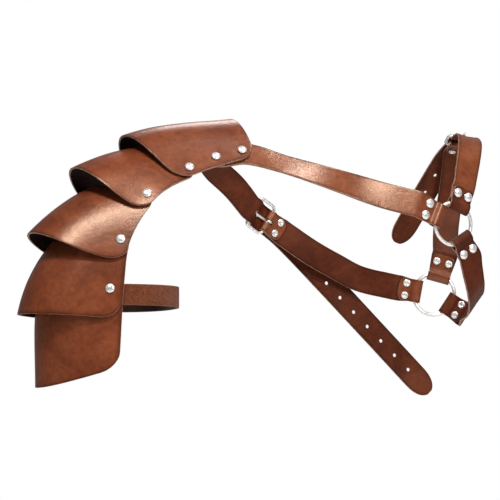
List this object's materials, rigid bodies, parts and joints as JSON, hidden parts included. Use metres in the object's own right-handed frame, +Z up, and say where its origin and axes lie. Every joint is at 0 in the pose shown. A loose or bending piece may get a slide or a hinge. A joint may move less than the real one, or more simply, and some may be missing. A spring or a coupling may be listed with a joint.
{
  "type": "leather shoulder pauldron with chest harness",
  "caption": "Brown leather right-shoulder pauldron of overlapping lames on an arm band, with riveted straps, wire rings and pin buckles that loop round the far shoulder.",
  "frame": {"origin": "on the top of the wearer's right shoulder, at the crown of lame_1, where the pauldron sits", "axes": "+X from the right shoulder across to the wearer's left one, +Y to the wearer's back, -Y to the chest, +Z up"},
  "size_m": [0.5539, 0.2111, 0.289],
  "materials": {
    "lame_leather": "satin",
    "strap_leather": "satin",
    "steel_fittings": "polished",
    "armband_cloth": "matte"
  },
  "bodies": {
    "root": {"lame_rivet_1_front": "steel_fittings", "lame_rivet_1_back": "steel_fittings", "lame_rivet_2_front": "steel_fittings", "lame_rivet_2_back": "steel_fittings", "lame_rivet_3_front": "steel_fittings", "lame_rivet_3_back": "steel_fittings", "lame_rivet_4_front": "steel_fittings", "lame_rivet_4_back": "steel_fittings", "strap_end_rivet_front": "steel_fittings", "strap_end_rivet_back": "steel_fittings", "strap_side_rivet_front": "steel_fittings", "strap_side_rivet_back": "steel_fittings", "lame_1": "lame_leather", "lame_2": "lame_leather", "lame_3": "lame_leather", "lame_4": "lame_leather", "lame_5": "lame_leather", "front_ring": "steel_fittings", "back_ring": "steel_fittings", "chest_strap_rivet_1": "steel_fittings", "chest_strap_rivet_2": "steel_fittings", "chest_strap": "strap_leather", "side_buckle_rivet_1": "steel_fittings", "side_buckle_rivet_2": "steel_fittings", "side_ring_rivet_1": "steel_fittings", "side_ring_rivet_2": "steel_fittings", "side_buckle_strap": "strap_leather", "side_buckle_frame": "steel_fittings", "side_buckle_prong": "steel_fittings", "back_strap": "strap_leather", "top_buckle_rivet_1": "steel_fittings", "top_buckle_rivet_2": "steel_fittings", "top_ring_rivet_1": "steel_fittings", "top_ring_rivet_2": "steel_fittings", "top_buckle_strap": "strap_leather", "top_buckle_frame": "steel_fittings", "top_buckle_prong": "steel_fittings", "shoulder_strap_rivet_1": "steel_fittings", "shoulder_strap_rivet_2": "steel_fittings", "shoulder_strap": "strap_leather", "underarm_front_rivet_1": "steel_fittings", "underarm_front_rivet_2": "steel_fittings", "underarm_back_rivet_1": "steel_fittings", "underarm_back_rivet_2": "steel_fittings", "underarm_strap": "strap_leather", "armband": "armband_cloth"}
  },
  "joints": []
}
